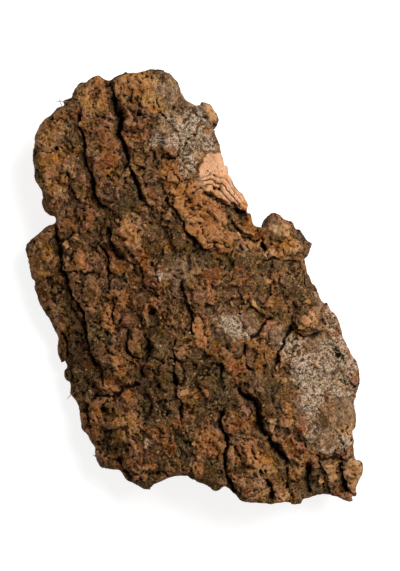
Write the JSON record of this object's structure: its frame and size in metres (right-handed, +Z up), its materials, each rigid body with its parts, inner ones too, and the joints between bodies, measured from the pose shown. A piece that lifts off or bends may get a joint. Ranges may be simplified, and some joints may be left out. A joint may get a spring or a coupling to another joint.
{
  "type": "cork bark slab",
  "caption": "Arched slab of virgin cork bark with deep fissures and overlapping plates, lying on its hollow side as a hide, perch or display piece.",
  "frame": {"origin": "centre of the slab's box, on the surface that it lies on", "axes": "+Z up, out of the bark's rough outer face; +Y along the slab towards its narrow end, with the grain leaning 17 degrees from it towards -X; +X across the grain"},
  "size_m": [0.2198, 0.28, 0.0573],
  "materials": {
    "cork_bark": "dry, very rough outer cork bark: brown to orange-tan with dark fissures, grey weathered patches and pale lichen"
  },
  "bodies": {
    "root": {"cork_bark_slab": "cork_bark"}
  },
  "joints": []
}
